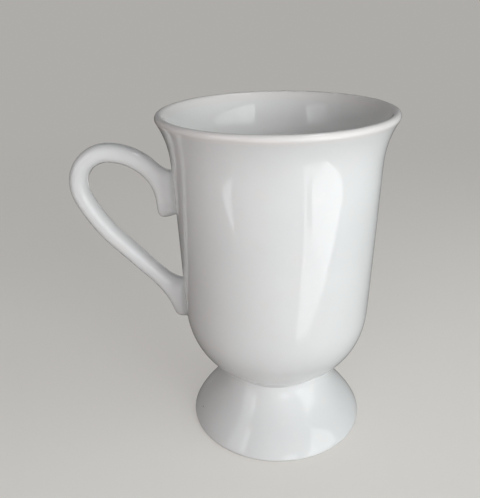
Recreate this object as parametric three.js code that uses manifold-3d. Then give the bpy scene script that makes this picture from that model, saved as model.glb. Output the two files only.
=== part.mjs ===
// Footed cappuccino mug in glazed porcelain: a flared bowl on a hollow pedestal foot, with an ear handle.
// Millimetres, +Z up. The foot stands on z = 0, and the handle lies in the plane y = 0 and points along -X.
// Bowl, foot and handle are three clay pieces, joined by a ring and two pads of slip (liquid clay).

import * as THREE from 'three';
import { mergeVertices } from 'three/addons/utils/BufferGeometryUtils.js';
import Module from 'manifold-3d';

// Bowl: heights run up its axis, radii are to the outside
const BELLY_HEIGHT = 31; // rounded bottom, from its lowest point up to the wall
const BELLY_RADIUS = 34.76; // where the rounded bottom turns into the wall
const BELLY_POWER = 2.29; // roundness of the bottom: 2 is an ellipse, more is squarer
const WALL_HEIGHT = 52.5;
const WALL_TOP_RADIUS = 36.52;
const LIP_HEIGHT = 17.7; // flared part, up to its round edge
const LIP_RADIUS = 40.85; // where the round edge begins
const LIP_POWER = 2.54; // how late the flare turns out: 1 is straight
const BOTTOM_THICKNESS = 4;
const WALL_THICKNESS = 3;
const LIP_THICKNESS = 2.8;

// Foot: a hollow trumpet, with the bowl's bottom let into its top
const FOOT_HEIGHT = 24.3; // from the table to the waist, where foot and bowl meet
const FOOT_RADIUS = 33.84;
const MOUTH_LEAN = 25; // lean of the flare from upright at the table, in degrees
const MOUTH_REACH = 8.5; // how far the flare keeps that lean
const NECK_LEAN = 4; // lean of the flare from upright at the waist, in degrees
const NECK_REACH = 8; // how far the flare keeps that lean
const FOOT_OUTER_EDGE = 0.9; // radius of the edge outside the rest ring
const FOOT_INNER_EDGE = 0.8; // radius of the edge inside the rest ring
const REST_RING_WIDTH = 1.9; // flat ring that stands on the table
const BOWL_SINK = 4.25; // how far the bowl's bottom hangs below the waist
const SEAT_HEIGHT = 2; // how far the seat reaches down the bowl from the waist

// Slip joints
const RING_SLIP_THICKNESS = 0.8; // between the bowl and the foot's seat
const RING_FILLET_RISE = 0.8; // slip drawn up the bowl above the waist
const RING_FILLET_DROP = 1.2; // slip drawn down the foot below the waist
const PAD_SLIP_THICKNESS = 0.9; // between the wall and a root of the handle
const PAD_MARGIN = 1.2; // slip squeezed out around a root
const PAD_CLEARANCE = 0.3; // between a pad and the clay on either side

// Handle: places are measured out from the wall and up from the belly line, where the wall begins
const CREST_OUT = 24.77;
const CREST_RISE = 57.7;
const ARCH_RADIUS = 20.2; // from the upper root to the crest
const ARCH_SWEEP = 45;
const BIGHT_RADIUS = 11.9; // tight turn from the crest round the outside
const BIGHT_SWEEP = 113.8;
const EASE_RADIUS = 57.5; // slow turn from the bight into the straight run
const EASE_SWEEP = 20.7;
const RUN_LENGTH = 17.2; // straight run down to the lower root
const STRAP_TOP_THICKNESS = 6.85; // at the upper root, in the plane of the loop
const STRAP_END_THICKNESS = 6.35; // at the lower root, in the plane of the loop
const STRAP_WIDTH = 7.6; // across the plane of the loop
const STRAP_POWER = 2.2; // section of the strap: 2 is an ellipse, more is squarer
const ROOT_WIDTH = 10; // across the strap at the wall
const ROOT_BELOW_CREST = 6.6; // from the crest down to the top of the upper root

// Roots of the handle: each has a heel on its upper side and a toe that hangs down along the wall
const UPPER_ROOT = { top: CREST_RISE - ROOT_BELOW_CREST, height: 16, lead: 12.6, stand: 12.6, drop: 5.3 };
const LOWER_ROOT = { top: 8.4, height: 16, lead: 19.7, stand: 9.3, drop: 1.4 };

// Fineness of the facets
const TURN_SEGMENTS = 48;
const BOTTOM_STEPS = 4;
const BELLY_STEPS = 7;
const WALL_STEPS = 2;
const SEAT_STEPS = 2;
const LIP_STEPS = 6;
const EDGE_STEPS = 4;
const FOOT_STEPS = 6;
const FILLET_STEPS = 3;
const ROOT_STEPS = 8;
const STRAP_STEPS = 30;
const STRAP_SIDES = 16;
const SAME_POINT = 1e-4; // points nearer than this are one point

// Heights and slopes that follow from the sizes above
const BOWL_BASE = FOOT_HEIGHT - BOWL_SINK;
const BELLY_LINE = BOWL_BASE + BELLY_HEIGHT;
const WALL_TOP = BELLY_LINE + WALL_HEIGHT;
const LIP_TOP = WALL_TOP + LIP_HEIGHT;
const WALL_TAPER = (WALL_TOP_RADIUS - BELLY_RADIUS) / WALL_HEIGHT;
const LIP_FLARE = LIP_RADIUS - WALL_TOP_RADIUS - WALL_TAPER * LIP_HEIGHT;
const WAIST = FOOT_HEIGHT;
const SEAT_BOTTOM = WAIST - SEAT_HEIGHT;
const FILLET_TOP = WAIST + RING_FILLET_RISE;

const wasm = await Module();
wasm.setup();

// Share of the rounded bottom that lies above a height, and of the lip that lies below it
const bellyDepth = (z) => THREE.MathUtils.clamp((BELLY_LINE - z) / BELLY_HEIGHT, 0, 1);
const lipRise = (z) => Math.max(0, (z - WALL_TOP) / LIP_HEIGHT);

// Outer radius of the bowl at a height
function bowlRadius(z) {
  const wall = BELLY_RADIUS + WALL_TAPER * (z - BELLY_LINE);
  const round = (1 - bellyDepth(z) ** BELLY_POWER) ** (1 / BELLY_POWER);
  return wall * round + LIP_FLARE * lipRise(z) ** LIP_POWER;
}

// Thickness of the bowl at a height, thick at the bottom and thin at the lip
function bowlThickness(z) {
  const bottomGain = (BOTTOM_THICKNESS - WALL_THICKNESS) * bellyDepth(z) ** 2;
  const lipGain = (LIP_THICKNESS - WALL_THICKNESS) * lipRise(z);
  return WALL_THICKNESS + bottomGain + lipGain;
}

// Point on the outside of the bowl at a height
function bowlPoint(z) {
  return new THREE.Vector2(bowlRadius(z), z);
}

// Points on the rounded bottom between two heights, spread as on a circle
function bellyPoints(from, to, steps) {
  const angleAt = (z) => Math.acos(bellyDepth(z) ** (BELLY_POWER / 2));
  return Array.from({ length: steps + 1 }, (_, i) => {
    const angle = THREE.MathUtils.lerp(angleAt(from), angleAt(to), i / steps);
    return bowlPoint(BELLY_LINE - BELLY_HEIGHT * Math.cos(angle) ** (2 / BELLY_POWER));
  });
}

// Points on the wall or the lip between two heights
function wallPoints(from, to, steps) {
  return Array.from({ length: steps + 1 }, (_, i) => bowlPoint(THREE.MathUtils.lerp(from, to, i / steps)));
}

// Points on an arc between two angles in degrees
function arcPoints(centre, radius, from, to, steps) {
  const arc = new THREE.EllipseCurve(
    centre.x, centre.y, radius, radius,
    THREE.MathUtils.degToRad(from), THREE.MathUtils.degToRad(to), to < from,
  );
  return arc.getPoints(steps);
}

// Joins runs of points, leaving out each point that repeats the one before it
function joinRuns(...runs) {
  const joined = [];
  for (const point of runs.flat()) {
    const last = joined.at(-1);
    if (!last || last.distanceTo(point) > SAME_POINT) {
      joined.push(point);
    }
  }
  return joined;
}

// Turns a profile of radius and height about the Z axis
function turned(profile) {
  return new THREE.LatheGeometry(profile, TURN_SEGMENTS).rotateX(Math.PI / 2);
}

const seatPoints = bellyPoints(SEAT_BOTTOM, WAIST, SEAT_STEPS);
const filletPoints = [bowlPoint(WAIST), bowlPoint(FILLET_TOP)];

// Outside of the bowl, from the middle of its bottom to the round edge of the lip
const bowlOutside = joinRuns(
  [new THREE.Vector2(0, BOWL_BASE)],
  bellyPoints(BOWL_BASE, SEAT_BOTTOM, BOTTOM_STEPS),
  seatPoints,
  filletPoints,
  bellyPoints(FILLET_TOP, BELLY_LINE, BELLY_STEPS),
  wallPoints(BELLY_LINE, WALL_TOP, WALL_STEPS),
  wallPoints(WALL_TOP, LIP_TOP, LIP_STEPS),
);

// The inside of the bowl, set in from the outside by the thickness there
function bowlInside() {
  return bowlOutside.map((point, i) => {
    const before = bowlOutside[Math.max(0, i - 1)];
    const after = bowlOutside[Math.min(bowlOutside.length - 1, i + 1)];
    const inward = new THREE.Vector2(before.y - after.y, after.x - before.x).normalize();
    const inside = inward.multiplyScalar(bowlThickness(point.y)).add(point);
    return i === 0 ? new THREE.Vector2(0, point.y + BOTTOM_THICKNESS) : inside;
  });
}

function bowlGeometry() {
  const inside = bowlInside();
  const edgeFrom = bowlOutside.at(-1);
  const edgeTo = inside.at(-1);
  const centre = edgeFrom.clone().lerp(edgeTo, 0.5);
  const start = THREE.MathUtils.radToDeg(edgeFrom.clone().sub(centre).angle()) - 360;
  const edge = arcPoints(centre, edgeFrom.distanceTo(edgeTo) / 2, start, start + 180, EDGE_STEPS);
  return turned(joinRuns(bowlOutside, edge.slice(1, -1), inside.reverse()));
}

// The foot's seat lies under the bowl, a layer of slip lower
const footSeat = seatPoints.map((point) => new THREE.Vector2(point.x, point.y - RING_SLIP_THICKNESS));

// Flare of the foot from its mouth at the table to its neck at the waist
function flarePoints(mouth, neck) {
  const leaning = (degrees) => {
    const angle = THREE.MathUtils.degToRad(degrees);
    return new THREE.Vector2(-Math.sin(angle), Math.cos(angle));
  };
  const mouthLead = mouth.clone().addScaledVector(leaning(MOUTH_LEAN), MOUTH_REACH);
  const neckLead = neck.clone().addScaledVector(leaning(NECK_LEAN), -NECK_REACH);
  return new THREE.CubicBezierCurve(mouth, mouthLead, neckLead, neck).getPoints(FOOT_STEPS);
}

// Outside of the foot, from the rest ring up to the seat, with a point where the slip fillet ends
function footOutside() {
  const top = footSeat.at(-1);
  const centre = new THREE.Vector2(FOOT_RADIUS - FOOT_OUTER_EDGE, FOOT_OUTER_EDGE);
  const edge = arcPoints(centre, FOOT_OUTER_EDGE, -90, MOUTH_LEAN, EDGE_STEPS);
  const flare = flarePoints(edge.at(-1), top);
  const filletEnd = flare.at(-2).clone().lerp(top, 1 - RING_FILLET_DROP / (top.y - flare.at(-2).y));
  return joinRuns(edge, flare.slice(0, -1), [filletEnd, top]);
}

function footGeometry() {
  const outside = footOutside();
  const restInside = outside[0].x - REST_RING_WIDTH;
  const centre = new THREE.Vector2(restInside, FOOT_INNER_EDGE);
  const edge = arcPoints(centre, FOOT_INNER_EDGE, MOUTH_LEAN - 180, -90, EDGE_STEPS);
  const flare = flarePoints(edge[0], footSeat[0]);
  return turned(joinRuns(outside, footSeat.toReversed(), flare.toReversed(), edge, [outside[0]]));
}

// Ring of slip between bowl and foot, drawn out into a hollow fillet around the waist
function slipRingGeometry() {
  const [filletEnd, seatEdge] = footOutside().slice(-2);
  const filletTop = filletPoints.at(-1);
  const crease = filletPoints[0].clone().lerp(seatEdge, 0.5);
  const fillet = new THREE.QuadraticBezierCurve(filletEnd, crease, filletTop).getPoints(FILLET_STEPS);
  const bowlSide = joinRuns(seatPoints, filletPoints).reverse();
  return turned(joinRuns(footSeat, [filletEnd], fillet, bowlSide, [footSeat[0]]));
}

// Bare closed solid for joining and cutting
function toSolid(geometry) {
  const bare = geometry.clone();
  bare.deleteAttribute('normal');
  bare.deleteAttribute('uv');
  const merged = mergeVertices(bare);
  return new wasm.Manifold(new wasm.Mesh({
    numProp: 3,
    vertProperties: new Float32Array(merged.attributes.position.array),
    triVerts: new Uint32Array(merged.index.array),
  }));
}

function toGeometry(solid) {
  const mesh = solid.getMesh();
  const geometry = new THREE.BufferGeometry();
  geometry.setAttribute('position', new THREE.BufferAttribute(mesh.vertProperties, 3));
  geometry.setIndex(new THREE.BufferAttribute(mesh.triVerts, 1));
  geometry.computeVertexNormals();
  return geometry;
}

// Solid body as large as the bowl and a layer of given thickness on its outside
function bowlEnvelope(layer) {
  const grown = bowlOutside.map((point) => new THREE.Vector2(point.x > 0 ? point.x + layer : 0, point.y));
  return toSolid(turned([...grown, new THREE.Vector2(0, LIP_TOP)]));
}

// Centre line of the handle's strap in the XZ plane, from the upper root round to the lower root
function strapLine() {
  const crest = new THREE.Vector2(-BELLY_RADIUS - CREST_OUT, BELLY_LINE + CREST_RISE);
  const bightEnd = 90 + BIGHT_SWEEP;
  const runStart = bightEnd + EASE_SWEEP;
  const along = (degrees) => {
    const angle = THREE.MathUtils.degToRad(degrees);
    return new THREE.Vector2(Math.cos(angle), Math.sin(angle));
  };
  const archCentre = crest.clone().addScaledVector(along(90), -ARCH_RADIUS);
  const bightCentre = crest.clone().addScaledVector(along(90), -BIGHT_RADIUS);
  const easeCentre = bightCentre.clone().addScaledVector(along(bightEnd), BIGHT_RADIUS - EASE_RADIUS);
  const easeEnd = easeCentre.clone().addScaledVector(along(runStart), EASE_RADIUS);
  const runEnd = easeEnd.clone().addScaledVector(along(runStart + 90), RUN_LENGTH);
  const arc = (centre, radius, from, to) => new THREE.EllipseCurve(
    centre.x, centre.y, radius, radius, THREE.MathUtils.degToRad(from), THREE.MathUtils.degToRad(to),
  );
  const line = new THREE.CurvePath();
  line.add(arc(archCentre, ARCH_RADIUS, 90 - ARCH_SWEEP, 90));
  line.add(arc(bightCentre, BIGHT_RADIUS, 90, bightEnd));
  line.add(arc(easeCentre, EASE_RADIUS, bightEnd, runStart));
  line.add(new THREE.LineCurve(easeEnd, runEnd));
  return line;
}

// Sections of the strap: the outer and inner end of each in the XZ plane, and its width
function strapSections() {
  const line = strapLine();
  return Array.from({ length: STRAP_STEPS + 1 }, (_, i) => {
    const share = i / STRAP_STEPS;
    const centre = line.getPointAt(share);
    const tangent = line.getTangentAt(share);
    const thickness = THREE.MathUtils.lerp(STRAP_TOP_THICKNESS, STRAP_END_THICKNESS, share);
    const inward = new THREE.Vector2(-tangent.y, tangent.x).multiplyScalar(thickness / 2);
    return { outer: centre.clone().sub(inward), inner: centre.clone().add(inward), width: STRAP_WIDTH };
  });
}

function rootHeights(root) {
  const top = BELLY_LINE + root.top;
  return { top, bottom: top - root.height };
}

// Heel and toe curves of a root, from the strap's end to the wall
function rootCurves(root, heelStart, toeStart, heading) {
  const { top, bottom } = rootHeights(root);
  const heelTurn = heelStart.clone().addScaledVector(heading, (top - heelStart.y) / heading.y);
  const heelEnd = new THREE.Vector2(-bowlRadius(top), top);
  const toeLead = toeStart.clone().addScaledVector(heading, root.lead);
  const toeTip = new THREE.Vector2(-bowlRadius(bottom) - root.stand, bottom - root.drop);
  const toeEnd = new THREE.Vector2(-bowlRadius(bottom), bottom);
  return {
    heel: new THREE.QuadraticBezierCurve(heelStart, heelTurn, heelEnd),
    toe: new THREE.CubicBezierCurve(toeStart, toeLead, toeTip, toeEnd),
  };
}

// Share of the way from the strap's end to the wall at each step along a root
function rootShares() {
  return Array.from({ length: ROOT_STEPS }, (_, i) => (i + 1) / ROOT_STEPS);
}

function handleSections() {
  const strap = strapSections();
  const line = strapLine();
  const first = strap[0];
  const last = strap.at(-1);
  const upper = rootCurves(UPPER_ROOT, first.outer, first.inner, line.getTangentAt(0).negate());
  const lower = rootCurves(LOWER_ROOT, last.inner, last.outer, line.getTangentAt(1));
  const widthAt = (share) => THREE.MathUtils.lerp(STRAP_WIDTH, ROOT_WIDTH, share);
  const upperSections = rootShares().map((share) => (
    { outer: upper.heel.getPoint(share), inner: upper.toe.getPoint(share), width: widthAt(share) }
  ));
  const lowerSections = rootShares().map((share) => (
    { outer: lower.toe.getPoint(share), inner: lower.heel.getPoint(share), width: widthAt(share) }
  ));
  return [...upperSections.reverse(), ...strap, ...lowerSections];
}

// Ring of points around one section
function sectionRing({ outer, inner, width }) {
  const ring = [];
  for (let i = 0; i < STRAP_SIDES; i++) {
    const angle = (2 * Math.PI * i) / STRAP_SIDES;
    const along = Math.sign(Math.cos(angle)) * Math.abs(Math.cos(angle)) ** (2 / STRAP_POWER);
    const across = Math.sign(Math.sin(angle)) * Math.abs(Math.sin(angle)) ** (2 / STRAP_POWER);
    const point = outer.clone().lerp(inner, (1 + along) / 2);
    ring.push([point.x, (across * width) / 2, point.y]);
  }
  return ring;
}

// Closed skin over a row of sections
function loft(sections) {
  const rings = sections.map(sectionRing);
  const positions = rings.flat(2);
  const index = [];
  for (let row = 0; row < rings.length - 1; row++) {
    for (let i = 0; i < STRAP_SIDES; i++) {
      const a = row * STRAP_SIDES + i;
      const b = row * STRAP_SIDES + ((i + 1) % STRAP_SIDES);
      index.push(a, a + STRAP_SIDES, b, b, a + STRAP_SIDES, b + STRAP_SIDES);
    }
  }
  const lastRing = (rings.length - 1) * STRAP_SIDES;
  for (let i = 1; i < STRAP_SIDES - 1; i++) {
    index.push(0, i, i + 1, lastRing, lastRing + i + 1, lastRing + i);
  }
  const geometry = new THREE.BufferGeometry();
  geometry.setAttribute('position', new THREE.Float32BufferAttribute(positions, 3));
  geometry.setIndex(index);
  return geometry;
}

// The handle ends short of the wall, leaving room for a pad of slip
function handleGeometry() {
  const room = PAD_CLEARANCE + PAD_SLIP_THICKNESS + PAD_CLEARANCE;
  return toGeometry(toSolid(loft(handleSections())).subtract(bowlEnvelope(room)));
}

// Pad of slip between the wall and a root of the handle, following the wall and reaching past the root
function slipPadGeometry(root) {
  const { top, bottom } = rootHeights(root);
  const inside = -Math.min(bowlRadius(top), bowlRadius(bottom)) + WALL_THICKNESS;
  const outside = -Math.max(bowlRadius(top), bowlRadius(bottom)) - WALL_THICKNESS;
  const sections = [inside, outside].map((x) => ({
    outer: new THREE.Vector2(x, top + PAD_MARGIN),
    inner: new THREE.Vector2(x, bottom - PAD_MARGIN),
    width: ROOT_WIDTH + 2 * PAD_MARGIN,
  }));
  const layer = bowlEnvelope(PAD_CLEARANCE + PAD_SLIP_THICKNESS);
  return toGeometry(toSolid(loft(sections)).intersect(layer).subtract(bowlEnvelope(PAD_CLEARANCE)));
}

const glaze = new THREE.MeshStandardMaterial({ color: 0xe9ebea, roughness: 0.12, metalness: 0 });
const jointGlaze = new THREE.MeshStandardMaterial({ color: 0xdfe1df, roughness: 0.16, metalness: 0 });

function piece(name, geometry, material) {
  const mesh = new THREE.Mesh(geometry, material.clone());
  mesh.name = name;
  return mesh;
}

// The origin is on the table, midway between the handle's outside and the far side of the lip
const mug = new THREE.Group();
mug.add(
  piece('bowl', bowlGeometry(), glaze),
  piece('pedestal_foot', footGeometry(), glaze),
  piece('handle', handleGeometry(), glaze),
  piece('foot_slip_joint', slipRingGeometry(), jointGlaze),
  piece('upper_handle_slip_joint', slipPadGeometry(UPPER_ROOT), jointGlaze),
  piece('lower_handle_slip_joint', slipPadGeometry(LOWER_ROOT), jointGlaze),
);
const extent = new THREE.Box3().setFromObject(mug, true);
mug.position.x = -(extent.min.x + extent.max.x) / 2;

export default mug;
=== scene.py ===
"""Footed cappuccino mug in glazed porcelain: the looks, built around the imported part."""

import math

import bmesh
import bpy
import numpy as np
from mathutils import Matrix, Vector


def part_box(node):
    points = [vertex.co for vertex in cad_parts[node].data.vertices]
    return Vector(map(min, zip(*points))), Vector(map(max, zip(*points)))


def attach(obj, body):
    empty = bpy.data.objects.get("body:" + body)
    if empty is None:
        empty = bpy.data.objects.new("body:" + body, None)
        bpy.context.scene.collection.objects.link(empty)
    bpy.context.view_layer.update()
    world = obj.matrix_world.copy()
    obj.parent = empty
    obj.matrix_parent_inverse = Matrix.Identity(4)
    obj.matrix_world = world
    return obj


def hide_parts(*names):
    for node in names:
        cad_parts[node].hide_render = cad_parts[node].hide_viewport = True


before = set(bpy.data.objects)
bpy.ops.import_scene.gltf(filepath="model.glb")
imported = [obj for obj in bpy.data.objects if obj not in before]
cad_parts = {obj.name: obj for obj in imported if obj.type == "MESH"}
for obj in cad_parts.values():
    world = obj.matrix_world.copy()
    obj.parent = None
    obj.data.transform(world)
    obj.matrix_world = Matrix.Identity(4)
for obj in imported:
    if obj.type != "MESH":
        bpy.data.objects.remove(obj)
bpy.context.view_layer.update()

MM = 0.001

# Bowl, in millimetres: heights run up its axis, radii are to the outside
BOWL_BASE = 20.05
BELLY_HEIGHT = 31.0
BELLY_RADIUS = 34.76
BELLY_POWER = 2.29
WALL_HEIGHT = 52.5
WALL_TOP_RADIUS = 36.52
LIP_HEIGHT = 17.7
LIP_RADIUS = 40.8
LIP_POWER = 2.54
BOTTOM_THICKNESS = 4.0
WALL_THICKNESS = 3.0
LIP_THICKNESS = 2.8

# Waves left in the wall by casting: crests round it, rise per radian, phase and share of each
WAVES = ((2.0, 31.0, 0.9, 1.0), (5.0, -17.0, 0.0, 0.6), (8.0, 11.0, 2.0, 0.4))
WAVE_HEIGHT = 0.05
STILL_ABOVE_WAIST = 2.0
WAVY_ABOVE_WAIST = 20.0
WAVY_ABOVE_WALL = 4.0
STILL_BELOW_LIP = 1.0

# Foot
FOOT_RADIUS = 33.84
MOUTH_LEAN = 25.0
MOUTH_REACH = 8.5
NECK_LEAN = 4.0
NECK_REACH = 8.0
NECK_TOP = 23.5
FOOT_OUTER_EDGE = 0.9
FOOT_INNER_EDGE = 0.8
REST_RING_WIDTH = 1.9
SEAT_INNER = (15.12, 21.5)

# Slip joints: how far each fillet reaches along the clay on either side
WAIST = 24.3
WAIST_RISE = 2.2
WAIST_DROP = 0.5
SEAT_FOOT_REACH = (0.25, -0.5)
SEAT_BOWL_REACH = (-1.3, 0.15)
SEAT_CREASE = (-0.1, 0.2)
ROOT_FILLET_SIDE = 2.3
ROOT_FILLET_END = 1.2
ROOT_FILLET_POWER = 1.5
FILLET_ROUNDNESS = 0.55
EMBED = 0.9

# Handle
CREST_OUT = 24.77
CREST_RISE = 57.7
ARCH_RADIUS = 20.2
ARCH_SWEEP = 45.0
BIGHT_RADIUS = 11.9
BIGHT_SWEEP = 113.8
EASE_RADIUS = 57.5
EASE_SWEEP = 20.7
RUN_LENGTH = 17.2
STRAP_TOP_THICKNESS = 6.85
STRAP_END_THICKNESS = 6.35
STRAP_WIDTH = 7.6
STRAP_POWER = 2.2
ROOT_WIDTH = 10.0
ROOT_SPREAD_POWER = 1.5
UPPER_ROOT = {"top": 51.1, "height": 16.0, "lead": 12.6, "stand": 12.6, "drop": 5.3}
LOWER_ROOT = {"top": 8.4, "height": 16.0, "lead": 19.7, "stand": 9.3, "drop": 1.4}

# Fineness of the meshes
TURN_SIDES = 176
BELLY_FIRST_RADIANS = 0.03
BELLY_STEPS = 56
WALL_STEPS = 36
LIP_STEPS = 28
EDGE_STEPS = 12
FOOT_STEPS = 44
STRAP_STEPS = 110
STRAP_SIDES = 64
ROOT_STEPS = 40
FILLET_STEPS = 18
SHARP_ANGLE = 55.0
SLOPE_STEP = 0.01

# Heights, slopes and shares that follow
BELLY_LINE = BOWL_BASE + BELLY_HEIGHT
WALL_TOP = BELLY_LINE + WALL_HEIGHT
LIP_TOP = WALL_TOP + LIP_HEIGHT
WALL_TAPER = (WALL_TOP_RADIUS - BELLY_RADIUS) / WALL_HEIGHT
LIP_FLARE = LIP_RADIUS - WALL_TOP_RADIUS - WALL_TAPER * LIP_HEIGHT
FILLET_SHARES = (1.0 - np.cos(np.linspace(0.0, math.pi, FILLET_STEPS + 1))) / 2

# Depth of the glaze from 0 to 1, pooled across a fillet; inside the bowl it is an even share of the warmer
# inside colour, partly the glaze's tint and partly painted bounce light
FILLET_POOL = np.sin(math.pi * FILLET_SHARES)
INSIDE_TINT_AND_BOUNCE_SHARE = 0.5

bowl_low, bowl_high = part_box("bowl")
AXIS = np.array([(bowl_low[0] + bowl_high[0]) / 2, 0.0, 0.0])


def smooth_step(low, high, value):
    """Share from 0 at low to 1 at high, level at both ends."""
    share = np.clip((value - low) / (high - low), 0.0, 1.0)
    return share * share * (3.0 - 2.0 * share)


def unit(vectors):
    """Vectors scaled to length 1."""
    return vectors / np.linalg.norm(vectors, axis=-1, keepdims=True)


def lengths_of(vectors):
    """Lengths of vectors, one in each row."""
    return np.linalg.norm(vectors, axis=1, keepdims=True)


def bezier(controls, share):
    """Point of a Bezier curve; each control may be a whole row of points."""
    row = [np.asarray(control, float) for control in controls]
    while len(row) > 1:
        row = [a + (b - a) * share for a, b in zip(row, row[1:])]
    return row[0]


def fillet_points(controls):
    """Points across a fillet, close together at both of its edges."""
    return [bezier(controls, share) for share in FILLET_SHARES]


def bearing(degrees):
    """Unit vector at an angle."""
    angle = math.radians(degrees)
    return np.array([math.cos(angle), math.sin(angle)])


def leaning(degrees):
    """Unit vector of radius and height that leans in from upright."""
    angle = math.radians(degrees)
    return np.array([-math.sin(angle), math.cos(angle)])


def full_turn(sides):
    """Angles of a whole turn in equal steps."""
    return np.linspace(0.0, 2.0 * math.pi, sides, endpoint=False)


def arc_points(centre, radius, start, end, steps):
    """Points on an arc between two angles in degrees."""
    angles = np.radians(np.linspace(start, end, steps + 1))
    return np.asarray(centre) + radius * np.stack([np.cos(angles), np.sin(angles)], 1)


def belly_depth(z):
    """Share of the way down the belly."""
    return np.clip((BELLY_LINE - z) / BELLY_HEIGHT, 0.0, 1.0)


def lip_rise(z):
    """Share of the way up the lip."""
    return np.maximum(0.0, (z - WALL_TOP) / LIP_HEIGHT)


def bowl_radius(z):
    """Outer radius of the bowl at a height."""
    wall = BELLY_RADIUS + WALL_TAPER * (z - BELLY_LINE)
    round_share = (1.0 - belly_depth(z) ** BELLY_POWER) ** (1.0 / BELLY_POWER)
    return wall * round_share + LIP_FLARE * lip_rise(z) ** LIP_POWER


def wall_wave(turn, z):
    """Unevenness of the wall at an angle and height, dying out at the waist and the lip."""
    grown = smooth_step(WAIST + STILL_ABOVE_WAIST, WAIST + WAVY_ABOVE_WAIST, z)
    faded = smooth_step(WALL_TOP + WAVY_ABOVE_WALL, LIP_TOP - STILL_BELOW_LIP, z)
    keep = grown * (1.0 - faded)
    waves = sum(share * np.sin(crests * turn + z / rise + phase) for crests, rise, phase, share in WAVES)
    return WAVE_HEIGHT * keep * waves


def wall_radius(turn, z):
    """Outer radius of the bowl as cast."""
    return bowl_radius(z) + wall_wave(turn, z)


def bowl_profile():
    """Up the outside from the bottom's middle, round the lip and down inside, with the glaze's depth."""
    angle = np.linspace(BELLY_FIRST_RADIANS, math.pi / 2, BELLY_STEPS)
    belly = BELLY_LINE - BELLY_HEIGHT * np.cos(angle) ** (2.0 / BELLY_POWER)
    wall = np.linspace(BELLY_LINE, WALL_TOP, WALL_STEPS + 1)[1:]
    lip = np.linspace(WALL_TOP, LIP_TOP, LIP_STEPS + 1)[1:]
    z = np.concatenate([belly, wall, lip])
    outside = np.stack([bowl_radius(z), z], 1)
    tangent = unit(np.gradient(outside, axis=0))
    inward = np.stack([-tangent[:, 1], tangent[:, 0]], 1)
    thickness = WALL_THICKNESS + (BOTTOM_THICKNESS - WALL_THICKNESS) * belly_depth(z) ** 2
    thickness = thickness + (LIP_THICKNESS - WALL_THICKNESS) * lip_rise(z)
    inside = outside + inward * thickness[:, None]
    inside[:, 0] = np.maximum(inside[:, 0], outside[0, 0])
    centre = (outside[-1] + inside[-1]) / 2
    reach = outside[-1] - centre
    start = math.degrees(math.atan2(reach[1], reach[0]))
    edge = arc_points(centre, np.linalg.norm(reach), start, start + 180.0, EDGE_STEPS)[1:-1]
    # Round the lip the colour turns towards the inside colour, which is partly painted warm bounce light
    edge_depth_and_bounce = np.linspace(0.0, INSIDE_TINT_AND_BOUNCE_SHARE, len(edge))
    glaze_depth_and_bounce = np.concatenate([np.zeros(len(outside)), edge_depth_and_bounce, np.full(len(inside), INSIDE_TINT_AND_BOUNCE_SHARE)])
    return np.concatenate([outside, edge, inside[::-1]]), glaze_depth_and_bounce


def flare_points(mouth, neck):
    """Flare of the foot from its mouth up to its neck."""
    controls = [
        mouth,
        mouth + MOUTH_REACH * leaning(MOUTH_LEAN),
        neck - NECK_REACH * leaning(NECK_LEAN),
        neck,
    ]
    return np.array([bezier(controls, share) for share in np.linspace(0.0, 1.0, FOOT_STEPS + 1)])


def foot_outside():
    """Outside of the foot from the rest ring up."""
    centre = (FOOT_RADIUS - FOOT_OUTER_EDGE, FOOT_OUTER_EDGE)
    edge = arc_points(centre, FOOT_OUTER_EDGE, -90.0, MOUTH_LEAN, EDGE_STEPS)
    flare = flare_points(edge[-1], np.array([bowl_radius(WAIST), NECK_TOP]))
    return np.concatenate([edge, flare[1:]])


def foot_profile():
    """Closed loop: outside up, the seat under the bowl, the hollow down again and the rest ring."""
    outside = foot_outside()
    centre = (outside[0, 0] - REST_RING_WIDTH, FOOT_INNER_EDGE)
    edge = arc_points(centre, FOOT_INNER_EDGE, MOUTH_LEAN - 180.0, -90.0, EDGE_STEPS)
    hollow = flare_points(edge[0], np.array(SEAT_INNER))[::-1]
    return np.concatenate([outside, hollow[:-1], edge])


def waist_profile():
    """Closed loop of the joint: a hollow fillet outside, the layer under the bowl, and a fillet inside."""
    outside = foot_outside()
    foot_line = NECK_TOP - WAIST_DROP
    bowl_line = WAIST + WAIST_RISE
    low = np.array([np.interp(foot_line, outside[:, 1], outside[:, 0]), foot_line])
    high = np.array([bowl_radius(bowl_line), bowl_line])
    below = np.array([bowl_radius(WAIST), WAIST])
    corner = np.array([below[0], (WAIST + NECK_TOP) / 2])
    rise = unit(corner - low) * np.linalg.norm(corner - low) * FILLET_ROUNDNESS
    drop = unit(below - high) * np.linalg.norm(corner - high) * FILLET_ROUNDNESS
    fillet = fillet_points([low, low + rise, high + drop, high])
    seat = np.array(SEAT_INNER)
    inner_low = seat + SEAT_FOOT_REACH
    inner_high = seat + SEAT_BOWL_REACH
    hollow = fillet_points([inner_high, seat + SEAT_CREASE, inner_low])
    clay_side = [high + (-EMBED, EMBED / 2), below + (-EMBED, EMBED), inner_high + (0.0, EMBED)]
    seat_side = [inner_low + (EMBED, 0.0), low + (-EMBED, 0.0)]
    glaze_depth_and_bounce = np.concatenate([FILLET_POOL, np.zeros(len(clay_side)), FILLET_POOL, np.zeros(len(seat_side))])
    return np.array([*fillet, *clay_side, *hollow, *seat_side]), glaze_depth_and_bounce


def turned_rings(profile, uneven=False):
    """Rings of points of a profile turned about the mug's axis."""
    turn = full_turn(TURN_SIDES)
    z = np.repeat(profile[:, 1:2], TURN_SIDES, axis=1)
    radius = profile[:, 0:1] + (wall_wave(turn, z) if uneven else 0.0 * z)
    return np.stack([radius * np.cos(turn), radius * np.sin(turn), z], 2)


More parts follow.
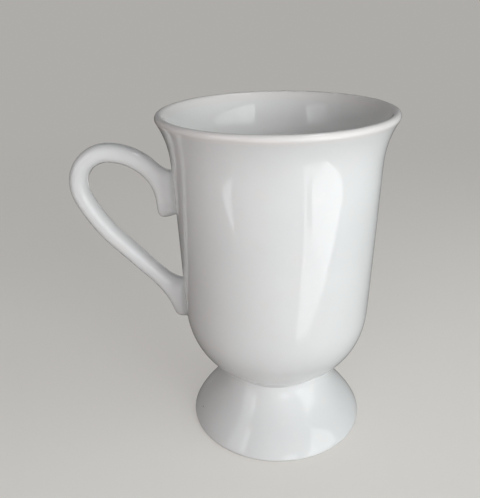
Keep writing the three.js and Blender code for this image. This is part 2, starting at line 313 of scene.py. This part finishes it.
def strap_line(steps):
    """Points and headings of the strap's centre line in the XZ plane, from upper to lower root."""
    crest = np.array([-BELLY_RADIUS - CREST_OUT, BELLY_LINE + CREST_RISE])
    bight_end = 90.0 + BIGHT_SWEEP
    run_start = bight_end + EASE_SWEEP
    arch_centre = crest - ARCH_RADIUS * bearing(90.0)
    bight_centre = crest - BIGHT_RADIUS * bearing(90.0)
    ease_centre = bight_centre + (BIGHT_RADIUS - EASE_RADIUS) * bearing(bight_end)
    ease_end = ease_centre + EASE_RADIUS * bearing(run_start)
    arcs = [
        (arch_centre, ARCH_RADIUS, 90.0 - ARCH_SWEEP, ARCH_SWEEP),
        (bight_centre, BIGHT_RADIUS, 90.0, BIGHT_SWEEP),
        (ease_centre, EASE_RADIUS, bight_end, EASE_SWEEP),
    ]
    lengths = [radius * math.radians(sweep) for _, radius, _, sweep in arcs] + [RUN_LENGTH]
    points, headings = [], []
    for way in np.linspace(0.0, sum(lengths), steps + 1):
        for (centre, radius, start, sweep), length in zip(arcs, lengths):
            if way <= length:
                angle = start + sweep * way / length
                points.append(centre + radius * bearing(angle))
                headings.append(bearing(angle + 90.0))
                break
            way -= length
        else:
            points.append(ease_end + way * bearing(run_start + 90.0))
            headings.append(bearing(run_start + 90.0))
    return np.array(points), np.array(headings)


def root_curves(root, heel_start, toe_start, heading):
    """Heel and toe of a root at shares of the way from the strap's end to the wall."""
    top = BELLY_LINE + root["top"]
    bottom = top - root["height"]
    heel_turn = heel_start + heading * (top - heel_start[1]) / heading[1]
    heel = [heel_start, heel_turn, np.array([-bowl_radius(top), top])]
    toe = [
        toe_start,
        toe_start + heading * root["lead"],
        np.array([-bowl_radius(bottom) - root["stand"], bottom - root["drop"]]),
        np.array([-bowl_radius(bottom), bottom]),
    ]
    shares = np.linspace(0.0, 1.0, ROOT_STEPS + 1)[1:]
    widths = STRAP_WIDTH + (ROOT_WIDTH - STRAP_WIDTH) * shares ** ROOT_SPREAD_POWER
    return [(bezier(heel, share), bezier(toe, share), width) for share, width in zip(shares, widths)]


def squared_off(wave):
    """Sine or cosine of a turn made a little squarer, as the strap's section is."""
    return np.sign(wave) * np.abs(wave) ** (2.0 / STRAP_POWER)


def section_ring(outer, inner, width):
    """Ring of points around one section of the handle, from its outer edge round."""
    angle = full_turn(STRAP_SIDES)
    along = squared_off(np.cos(angle))
    across = squared_off(np.sin(angle))
    middle = outer + (inner - outer) * (1.0 + along)[:, None] / 2
    return np.stack([middle[:, 0], across * width / 2, middle[:, 1]], 1)


def turn_of(points):
    """Angle of points about the mug's axis."""
    return np.arctan2(points[..., 1], points[..., 0])


def reach_of(points):
    """Distance of points from the mug's axis."""
    return np.hypot(points[..., 0], points[..., 1])


def stand_off(points):
    """Distance of points from the bowl's wall, measured level."""
    return reach_of(points) - wall_radius(turn_of(points), points[..., 2])


def on_wall(points, depth=0.0):
    """Points moved level onto the wall, or to a depth inside it."""
    scale = (wall_radius(turn_of(points), points[..., 2]) - depth) / reach_of(points)
    return points * np.stack([scale, scale, np.ones_like(scale)], -1)


def wall_normal(points):
    """Outward normals of the wall at points on it."""
    turn = turn_of(points)
    z = points[..., 2]
    slope = (bowl_radius(z + SLOPE_STEP) - bowl_radius(z - SLOPE_STEP)) / (2 * SLOPE_STEP)
    return unit(np.stack([np.cos(turn), np.sin(turn), -slope], -1))


def handle_rings():
    """Rings of the handle, each end running on into the wall."""
    centres, headings = strap_line(STRAP_STEPS)
    share = np.linspace(0.0, 1.0, STRAP_STEPS + 1)[:, None]
    thickness = STRAP_TOP_THICKNESS + (STRAP_END_THICKNESS - STRAP_TOP_THICKNESS) * share
    inward = np.stack([-headings[:, 1], headings[:, 0]], 1) * thickness / 2
    outer, inner = centres - inward, centres + inward
    upper = root_curves(UPPER_ROOT, outer[0], inner[0], -headings[0])
    lower = root_curves(LOWER_ROOT, inner[-1], outer[-1], headings[-1])
    strap = [(a, b, STRAP_WIDTH) for a, b in zip(outer, inner)]
    sections = [*upper[::-1], *strap, *[(toe, heel, width) for heel, toe, width in lower]]
    rings = np.array([section_ring(*section) for section in sections])
    first, last = on_wall(rings[:1], EMBED), on_wall(rings[-1:], EMBED)
    return np.concatenate([first, rings, last])


def at_stand_off(rows, distance):
    """Where each line of points off the wall first reaches a distance from it, and its heading back."""
    heights = stand_off(rows)
    points, headings = [], []
    for side, wanted in enumerate(distance):
        row = int(np.argmax(heights[:, side] >= wanted))
        low, high = heights[row - 1, side], heights[row, side]
        share = (wanted - low) / (high - low)
        points.append(rows[row - 1, side] + (rows[row, side] - rows[row - 1, side]) * share)
        before = rows[row, side] - rows[row - 1, side]
        after = rows[row + 1, side] - rows[row, side]
        headings.append(-(before * (1.0 - share / 2) + after * share / 2))
    return np.array(points), unit(np.array(headings))


def root_joint_rings(rows):
    """Fillet of slip between a root and the wall, tangent to both, with both edges let into the clay."""
    sideways = np.abs(np.sin(full_turn(STRAP_SIDES))) ** ROOT_FILLET_POWER
    size = ROOT_FILLET_END + (ROOT_FILLET_SIDE - ROOT_FILLET_END) * sideways
    start, start_heading = at_stand_off(rows, size)
    meet, _ = at_stand_off(rows, np.zeros(STRAP_SIDES))
    round_way = np.roll(meet, -1, axis=0) - np.roll(meet, 1, axis=0)
    away = unit(np.cross(round_way, wall_normal(meet)))
    away = away * np.sign(np.sum(away * (meet - meet.mean(0))))
    end = on_wall(meet + away * size[:, None])
    back = meet - end
    normal = wall_normal(end)
    back = unit(back - normal * np.sum(back * normal, axis=1, keepdims=True))
    first_pull = FILLET_ROUNDNESS * lengths_of(meet - start)
    last_pull = FILLET_ROUNDNESS * lengths_of(meet - end)
    fillet = fillet_points([start, start + start_heading * first_pull, end + back * last_pull, end])
    inside_clay = start + unit(start.mean(0) - start) * EMBED
    glaze_depth_and_bounce = np.concatenate([[0.0], FILLET_POOL, [0.0]])
    return np.array([inside_clay, *fillet, on_wall(end, EMBED)]), glaze_depth_and_bounce


# What a lamp or card may be limited to: the whole mug, or the bowl alone
mug = bpy.data.collections.new("mug")
bowl_only = bpy.data.collections.new("bowl_only")


def add_piece(name, node, rings, material, loop=False, glaze_depth_and_bounce=None):
    """Closed mesh over rings of points, standing for a node of the part; the depth given per ring is how
    deep the glaze is, and inside the bowl the share of the warmer inside colour, which is partly painted
    bounce light.
    """
    rows, sides, _ = rings.shape
    points = rings.reshape(-1, 3)
    grid = np.arange(rows * sides).reshape(rows, sides)
    low = grid if loop else grid[:-1]
    high = np.roll(grid, -1, axis=0) if loop else grid[1:]
    quads = np.stack([low, np.roll(low, -1, axis=1), np.roll(high, -1, axis=1), high], 2).reshape(-1, 4)
    faces = quads.tolist()
    if not loop:
        points = np.concatenate([points, rings[:1].mean(1), rings[-1:].mean(1)])
        for end, hub in ((grid[0], rows * sides), (grid[-1], rows * sides + 1)):
            faces += [[int(a), int(b), hub] for a, b in zip(end, np.roll(end, -1))]
    mesh = bpy.data.meshes.new(name)
    mesh.from_pydata((points * MM + AXIS).tolist(), [], faces)
    shell = bmesh.new()
    shell.from_mesh(mesh)
    bmesh.ops.recalc_face_normals(shell, faces=shell.faces)
    shell.to_mesh(mesh)
    shell.free()
    mesh.shade_smooth()
    mesh.set_sharp_from_angle(angle=math.radians(SHARP_ANGLE))
    mesh.materials.append(material)
    if glaze_depth_and_bounce is not None:
        depth = np.zeros(len(points), np.float32)
        depth[: rows * sides] = np.repeat(glaze_depth_and_bounce, sides)
        mesh.attributes.new("glaze_depth_and_bounce", "FLOAT", "POINT").data.foreach_set("value", depth)
    piece = bpy.data.objects.new(name, mesh)
    bpy.context.collection.objects.link(piece)
    mug.objects.link(piece)
    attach(piece, "root")
    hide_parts(node)
    return piece


def add_node(tree, kind, inputs=None, **settings):
    """Shader node with its settings, and its inputs set or linked."""
    made = tree.nodes.new(kind)
    for name, value in settings.items():
        setattr(made, name, value)
    for name, value in (inputs or {}).items():
        if isinstance(value, bpy.types.NodeSocket):
            tree.links.new(value, made.inputs[name])
        else:
            made.inputs[name].default_value = value
    return made


def mixed(tree, share, first, second):
    """Colour between two colours or sockets, which a mix node takes at 6 and 7."""
    inputs = {0: share, 6: first, 7: second}
    return add_node(tree, "ShaderNodeMix", inputs, data_type="RGBA").outputs[2]


def mixed_value(tree, share, first, second):
    """Number between two numbers or sockets, which a mix node takes at 2 and 3."""
    inputs = {0: share, 2: first, 3: second}
    return add_node(tree, "ShaderNodeMix", inputs, data_type="FLOAT").outputs[0]


def calculated(tree, operation, first, second):
    """Result of a sum with two numbers or sockets."""
    return add_node(tree, "ShaderNodeMath", {0: first, 1: second}, operation=operation).outputs[0]


def mapped(tree, value, low, high, out_low, out_high):
    """Value moved smoothly from one range into another."""
    inputs = {0: value, 1: low, 2: high, 3: out_low, 4: out_high}
    return add_node(tree, "ShaderNodeMapRange", inputs, interpolation_type="SMOOTHSTEP").outputs[0]


def noise(tree, where, scale, detail):
    """Soft noise over the surface."""
    inputs = {"Vector": where, "Scale": scale, "Detail": detail}
    return add_node(tree, "ShaderNodeTexNoise", inputs).outputs["Fac"]


# Colours of the glaze and of the bare clay
GLAZE = (0.800, 0.808, 0.802, 1.0)
GLAZE_CLOUD = (0.770, 0.778, 0.776, 1.0)
GLAZE_WARM = (0.812, 0.795, 0.772, 1.0)
GLAZE_BREAK = (0.820, 0.790, 0.765, 1.0)
GLAZE_POOL = (0.690, 0.715, 0.710, 1.0)
# Inside colour: the glaze's warmer tint, partly painted warm light bounced round inside the bowl
INSIDE_GLAZE_AND_BOUNCE = (0.815, 0.802, 0.777, 1.0)
BISCUIT = (0.690, 0.640, 0.570, 1.0)
SPECK = (0.330, 0.310, 0.285, 1.0)

# Gloss of the glaze, and where the noise makes it rougher
GLAZE_IOR = 1.52
GLAZE_ROUGHNESS = (0.015, 0.035)
ROUGHNESS_RANGE = (0.3, 0.7)
BISCUIT_ROUGHNESS = 0.7

# Noise in the glaze: scale per metre and detail, and the range of it that shows
CLOUD_NOISE = (26.0, 3.0)
CLOUD_RANGE = (0.35, 0.65)
MOTTLE_NOISE = (210.0, 4.0)
MOTTLE_RANGE = (0.5, 0.75)
MOTTLE_SHARE = 0.45
SWELL_NOISE = (90.0, 0.0)
SWELL_STRENGTH = 0.10
SWELL_HEIGHT = 0.4 * MM
PEEL_NOISE = (1400.0, 2.0)
PEEL_STRENGTH = 0.02
PEEL_HEIGHT = 0.1 * MM

# Specks, the thin glaze on the lip, and the bare ring under the foot
SPECKS_PER_METRE = 75.0
SPECK_REACH = 0.026
SPECK_CORE = 0.6
SPECK_SHARE = 0.4
BREAK_DEPTH = 1.6 * MM
BREAK_SHARE = 0.75
BARE_HEIGHT = 0.35 * MM
BARE_CORE = 0.4


def speck_share(tree, where):
    """Share of the speck's colour: a dot in some of the cells."""
    cells = add_node(tree, "ShaderNodeTexVoronoi", {"Vector": where, "Scale": SPECKS_PER_METRE})
    dot = mapped(tree, cells.outputs["Distance"], SPECK_REACH, SPECK_REACH * SPECK_CORE, 0.0, 1.0)
    pick = add_node(tree, "ShaderNodeSeparateColor", {0: cells.outputs["Color"]}).outputs[0]
    pick = calculated(tree, "LESS_THAN", pick, SPECK_SHARE)
    return calculated(tree, "MULTIPLY", dot, pick)


def glaze_normal(tree, where):
    """Slow swell of the glaze with a fine peel on it."""
    swell = noise(tree, where, *SWELL_NOISE)
    peel = noise(tree, where, *PEEL_NOISE)
    slow = {"Strength": SWELL_STRENGTH, "Distance": SWELL_HEIGHT, "Height": swell}
    ripple = add_node(tree, "ShaderNodeBump", slow).outputs[0]
    fine = {"Strength": PEEL_STRENGTH, "Distance": PEEL_HEIGHT, "Height": peel, "Normal": ripple}
    return add_node(tree, "ShaderNodeBump", fine).outputs[0]


def glaze_material(name, breaks_at=None, bare_below=None, pool_and_bounce_colour=None):
    """Clear gloss glaze over white porcelain."""
    material = bpy.data.materials.new(name)
    material.use_nodes = True
    tree = material.node_tree
    shader = tree.nodes["Principled BSDF"]
    where = add_node(tree, "ShaderNodeTexCoord").outputs["Object"]
    height = add_node(tree, "ShaderNodeSeparateXYZ", {0: where}).outputs[2]
    cloud = noise(tree, where, *CLOUD_NOISE)
    mottle = noise(tree, where, *MOTTLE_NOISE)
    colour = mixed(tree, mapped(tree, cloud, *CLOUD_RANGE, 0.0, 1.0), GLAZE, GLAZE_CLOUD)
    colour = mixed(tree, mapped(tree, mottle, *MOTTLE_RANGE, 0.0, MOTTLE_SHARE), colour, GLAZE_WARM)
    colour = mixed(tree, speck_share(tree, where), colour, SPECK)
    roughness = mapped(tree, mottle, *ROUGHNESS_RANGE, *GLAZE_ROUGHNESS)
    # Pooled glaze in the fillets; inside the bowl, the warmer inside colour with painted bounce light
    if pool_and_bounce_colour is not None:
        glaze_depth_and_bounce = add_node(tree, "ShaderNodeAttribute", attribute_name="glaze_depth_and_bounce").outputs["Fac"]
        colour = mixed(tree, glaze_depth_and_bounce, colour, pool_and_bounce_colour)
    if breaks_at is not None:
        edge = mapped(tree, height, breaks_at - BREAK_DEPTH, breaks_at, 0.0, BREAK_SHARE)
        colour = mixed(tree, edge, colour, GLAZE_BREAK)
    if bare_below is not None:
        bare = mapped(tree, height, bare_below, bare_below * BARE_CORE, 0.0, 1.0)
        colour = mixed(tree, bare, colour, BISCUIT)
        roughness = mixed_value(tree, bare, roughness, BISCUIT_ROUGHNESS)
    tree.links.new(colour, shader.inputs["Base Color"])
    tree.links.new(roughness, shader.inputs["Roughness"])
    tree.links.new(glaze_normal(tree, where), shader.inputs["Normal"])
    shader.inputs["IOR"].default_value = GLAZE_IOR
    return material


# Pieces of the mug
# Inside the bowl the glaze takes a warmer colour, partly painted bounce light
bowl_glaze = glaze_material("bowl_glaze", breaks_at=LIP_TOP * MM, pool_and_bounce_colour=INSIDE_GLAZE_AND_BOUNCE)
foot_glaze = glaze_material("foot_glaze", bare_below=BARE_HEIGHT)
handle_glaze = glaze_material("handle_glaze")
joint_glaze = glaze_material("joint_glaze", pool_and_bounce_colour=GLAZE_POOL)
handle = handle_rings()
profile, glaze_depth_and_bounce = bowl_profile()
bowl = turned_rings(profile, uneven=True)
bowl_only.objects.link(add_piece("bowl_glazed", "bowl", bowl, bowl_glaze, glaze_depth_and_bounce=glaze_depth_and_bounce))
add_piece("foot_glazed", "pedestal_foot", turned_rings(foot_profile()), foot_glaze, loop=True)
add_piece("handle_glazed", "handle", handle, handle_glaze)
profile, glaze_depth_and_bounce = waist_profile()
waist = turned_rings(profile)
add_piece("waist_joint", "foot_slip_joint", waist, joint_glaze, loop=True, glaze_depth_and_bounce=glaze_depth_and_bounce)
for name, node, rows in (
    ("upper_root_joint", "upper_handle_slip_joint", handle),
    ("lower_root_joint", "lower_handle_slip_joint", handle[::-1]),
):
    rings, glaze_depth_and_bounce = root_joint_rings(rows)
    add_piece(name, node, rings, joint_glaze, glaze_depth_and_bounce=glaze_depth_and_bounce)

# Floor, in metres: lit near the mug, with an even glow further off
FLOOR = (0.545, 0.53, 0.505, 1.0)
FLOOR_FAR = (0.0, 0.0, 0.0, 1.0)
FLOOR_BOUNCE = (0.36, 0.335, 0.315, 1.0)
FLOOR_ROUGHNESS = 0.7
NEAR_GLOW = 0.56
FAR_GLOW = 0.78
LIT_REACH = 0.12
GLOW_REACH = 0.6
FLOOR_REACH = 40.0
FLOOR_DROP = -0.02 * MM
FLOOR_CORNERS = ((-1, -1), (1, -1), (1, 1), (-1, 1))


def floor_material():
    """Pale matt floor that throws little light back up."""
    material = bpy.data.materials.new("pale_floor")
    material.use_nodes = True
    tree = material.node_tree
    shader = tree.nodes["Principled BSDF"]
    where = add_node(tree, "ShaderNodeTexCoord").outputs["Object"]
    seen = add_node(tree, "ShaderNodeLightPath").outputs["Is Camera Ray"]
    away = add_node(tree, "ShaderNodeVectorMath", {0: where}, operation="LENGTH").outputs["Value"]
    far = mapped(tree, away, LIT_REACH, GLOW_REACH, 0.0, 1.0)
    lit = mixed(tree, far, FLOOR, FLOOR_FAR)
    tree.links.new(mixed(tree, seen, FLOOR_BOUNCE, lit), shader.inputs["Base Color"])
    glow = mapped(tree, away, LIT_REACH, GLOW_REACH, NEAR_GLOW, FAR_GLOW)
    tree.links.new(calculated(tree, "MULTIPLY", seen, glow), shader.inputs["Emission Strength"])
    shader.inputs["Emission Color"].default_value = FLOOR
    shader.inputs["Roughness"].default_value = FLOOR_ROUGHNESS
    shader.inputs["Specular IOR Level"].default_value = 0.0
    return material


def add_stage(name, corners, material):
    """Sheet that is not part of the mug."""
    mesh = bpy.data.meshes.new(name)
    mesh.from_pydata(corners, [], [tuple(range(len(corners)))])
    mesh.materials.append(material)
    sheet = bpy.data.objects.new(name, mesh)
    bpy.context.collection.objects.link(sheet)
    return sheet


floor = [(x * FLOOR_REACH, y * FLOOR_REACH, FLOOR_DROP) for x, y in FLOOR_CORNERS]
add_stage("floor", floor, floor_material())

# Bright cards, in millimetres from the mug's axis; a corner without a height lies flat on the floor
CARD_HEIGHT = 1.0
BRIGHT_CARD = [
    (118, -98), (135, -145), (126, -187), (139, -198),
    (159, -229), (185, -330), (330, -330), (330, -98),
]
DIM_CARD = [
    (66, -142), (88, -176), (104, -210), (125, -250), (136, -242), (115, -207),
    (124, -188), (135, -145), (118, -99), (104, -116), (88, -127),
]
TAIL_CARD = [(27, -69, 57), (34, -82, 31), (36, -98, 1), (56, -86, 6), (58, -55, 46)]
LEFT_CARD = [(-265, -162), (-265, -242), (-154, -170), (-154, -158)]
BACK_CARD = [(-8, 60), (8, 60), (55, 450), (-55, 450)]
BRIGHT_LEVEL = 2.6
DIM_LEVEL = 1.85
LEFT_LEVEL = 2.2
BACK_LEVEL = 1.6


def add_reflector(name, outline, strength, only=None):
    """Bright card near the mug that is seen only in its gloss."""
    material = bpy.data.materials.new(name)
    material.use_nodes = True
    tree = material.node_tree
    tree.nodes.clear()
    light = add_node(tree, "ShaderNodeEmission", {"Strength": strength}).outputs[0]
    add_node(tree, "ShaderNodeOutputMaterial", {"Surface": light})
    places = [point if len(point) == 3 else (*point, CARD_HEIGHT) for point in outline]
    card = add_stage(name, [(x * MM + AXIS[0], y * MM, z * MM) for x, y, z in places], material)
    card.visible_camera = False
    card.visible_diffuse = False
    card.visible_shadow = False
    if only is not None:
        card.light_linking.receiver_collection = only


add_reflector("bright_card", BRIGHT_CARD, BRIGHT_LEVEL)
add_reflector("dim_card", DIM_CARD, DIM_LEVEL)
add_reflector("tail_card", TAIL_CARD, DIM_LEVEL, only=bowl_only)
add_reflector("left_card", LEFT_CARD, LEFT_LEVEL)
add_reflector("back_card", BACK_CARD, BACK_LEVEL)

# Colours of the lamps
DAY_WHITE = (0.955, 0.99, 1.0)
PALE_WHITE = (0.985, 0.965, 1.0)
LAMP_WHITE = (1.0, 0.90, 0.80)
SKY_WHITE = (0.95, 1.0, 1.0)

# Lamps, in degrees and metres: name, left and right ends, lower and upper edge, radiance, colour
SOFT_LAMPS = (
    ("key_soft", (28.0, 0.75), (50.0, 0.75), 0.01, 0.60, 5.5, DAY_WHITE),
    ("front_soft", (-40.0, 0.75), (28.0, 0.75), 0.05, 0.50, 1.75, PALE_WHITE),
    ("left_soft", (-80.0, 0.80), (-40.0, 0.80), 0.01, 0.24, 1.4, LAMP_WHITE),
    ("right_soft", (50.0, 0.75), (95.0, 0.75), 0.05, 0.65, 1.9, SKY_WHITE),
)
BACK_LAMP = ("back_soft", (158.0, 1.00), (202.0, 1.00), 0.01, 0.40, 5.4, PALE_WHITE)
MIRRORED_LAMPS = (
    ("near_window", (27.0, 1.30), (50.0, 1.62), 0.02, 1.08, 2.4, DAY_WHITE),
    ("far_window", (50.0, 1.62), (78.0, 3.30), 0.02, 1.08, 1.6, DAY_WHITE),
    ("left_window", (-63.0, 1.60), (-46.0, 1.60), 0.02, 1.16, 1.2, DAY_WHITE),
    ("left_gap", (-46.0, 1.60), (-38.0, 1.60), 0.20, 1.10, 2.2, DAY_WHITE),
    ("strap_light", (10.0, 1.20), (30.0, 1.20), 0.01, 0.28, 2.4, DAY_WHITE),
    ("lip_light", (55.0, 0.50), (110.0, 0.50), 0.90, 1.60, 5.5, PALE_WHITE),
)


def add_softbox(name, left, right, low, high, radiance, colour, soft=True, gloss=True, only=None):
    """Upright lamp between two ends, with azimuths from the camera's side and distances from the mug."""
    feet = []
    for azimuth, distance in (left, right):
        around = math.radians(azimuth)
        feet.append(Vector((math.sin(around) * distance, -math.cos(around) * distance, 0.0)))
    along = feet[1] - feet[0]
    lamp = bpy.data.lights.new(name, "AREA")
    lamp.shape = "RECTANGLE"
    lamp.size = along.length
    lamp.size_y = high - low
    lamp.energy = radiance * math.pi * lamp.size * lamp.size_y
    lamp.color = colour
    box = bpy.data.objects.new(name, lamp)
    upward = Vector((0.0, 0.0, 1.0))
    side = along.normalized()
    turn = Matrix((side, upward, side.cross(upward))).transposed().to_4x4()
    middle = (feet[0] + feet[1]) / 2 + Vector((AXIS[0], 0.0, (low + high) / 2))
    box.matrix_world = Matrix.Translation(middle) @ turn
    box.visible_camera = False
    box.visible_diffuse = soft
    box.visible_glossy = gloss
    if only is not None:
        box.light_linking.receiver_collection = only
    bpy.context.collection.objects.link(box)


for lamp in SOFT_LAMPS:
    add_softbox(*lamp, gloss=False)
add_softbox(*BACK_LAMP, gloss=False, only=mug)
for lamp in MIRRORED_LAMPS:
    add_softbox(*lamp, soft=False)

# Overhead lamp, which the gloss does not mirror
TOP_SIZE = 0.3
TOP_HEIGHT = 1.0
TOP_RADIANCE = 0.7
top_lamp = bpy.data.lights.new("top_soft", "AREA")
top_lamp.size = TOP_SIZE
top_lamp.energy = TOP_RADIANCE * math.pi * TOP_SIZE ** 2
top_light = bpy.data.objects.new("top_soft", top_lamp)
top_light.location = (AXIS[0], 0.0, TOP_HEIGHT)
top_light.visible_camera = False
top_light.visible_glossy = False
bpy.context.collection.objects.link(top_light)

# World: a dim soft room, lighter behind the mug, which the camera sees as the floor's glow
ROOM_TINT = (0.97, 0.985, 1.0, 1.0)
ROOM_AZIMUTH = 25.0
ROOM_BEHIND = 0.22
ROOM_IN_FRONT = 0.02
ROOM_RANGE = (-1.0, 0.2)
OVERHEAD_SHARE = 0.8
OVERHEAD_RANGE = (0.1, 0.9)

world = bpy.data.worlds.new("soft_room")
bpy.context.scene.world = world
world.use_nodes = True
sky = world.node_tree
background = sky.nodes["Background"]
toward = add_node(sky, "ShaderNodeTexCoord").outputs["Generated"]
around = math.radians(ROOM_AZIMUTH)
facing = {0: toward, 1: (math.sin(around), -math.cos(around), 0.0)}
front = add_node(sky, "ShaderNodeVectorMath", facing, operation="DOT_PRODUCT").outputs["Value"]
height = add_node(sky, "ShaderNodeSeparateXYZ", {0: toward}).outputs[2]
level = mapped(sky, front, *ROOM_RANGE, ROOM_BEHIND, ROOM_IN_FRONT)
shade = mapped(sky, height, *OVERHEAD_RANGE, 1.0, OVERHEAD_SHARE)
light = calculated(sky, "MULTIPLY", level, shade)
seen = add_node(sky, "ShaderNodeLightPath").outputs["Is Camera Ray"]
sky.links.new(mixed_value(sky, seen, light, FAR_GLOW), background.inputs["Strength"])
sky.links.new(mixed(sky, seen, ROOM_TINT, FLOOR), background.inputs["Color"])

# Camera, as fitted to the photograph: the eye's place from the mug's axis, in millimetres
EYE = (0.0, -193.413, 157.814)
PITCH = 23.985
YAW = -3.988
ROLL = -1.497
FOCAL_PIXELS = 565.4
LONG_SIDE_PIXELS = 498
SENSOR = 36.0
CLIP_START = 0.005

pitch, yaw, roll = (math.radians(angle) for angle in (PITCH, YAW, ROLL))
forward = Vector((math.sin(yaw) * math.cos(pitch), math.cos(yaw) * math.cos(pitch), -math.sin(pitch)))
level_right = Vector((math.cos(yaw), -math.sin(yaw), 0.0))
level_up = level_right.cross(forward)
right = math.cos(roll) * level_right + math.sin(roll) * level_up
up = math.cos(roll) * level_up - math.sin(roll) * level_right
camera_data = bpy.data.cameras.new("camera")
camera_data.sensor_width = SENSOR
camera_data.lens = FOCAL_PIXELS * SENSOR / LONG_SIDE_PIXELS
camera_data.clip_start = CLIP_START
camera = bpy.data.objects.new("camera", camera_data)
turn = Matrix((right, up, -forward)).transposed().to_4x4()
camera.matrix_world = Matrix.Translation(Vector(EYE) * MM + Vector(AXIS)) @ turn
bpy.context.collection.objects.link(camera)
bpy.context.scene.camera = camera
bpy.context.scene.view_settings.view_transform = "Standard"
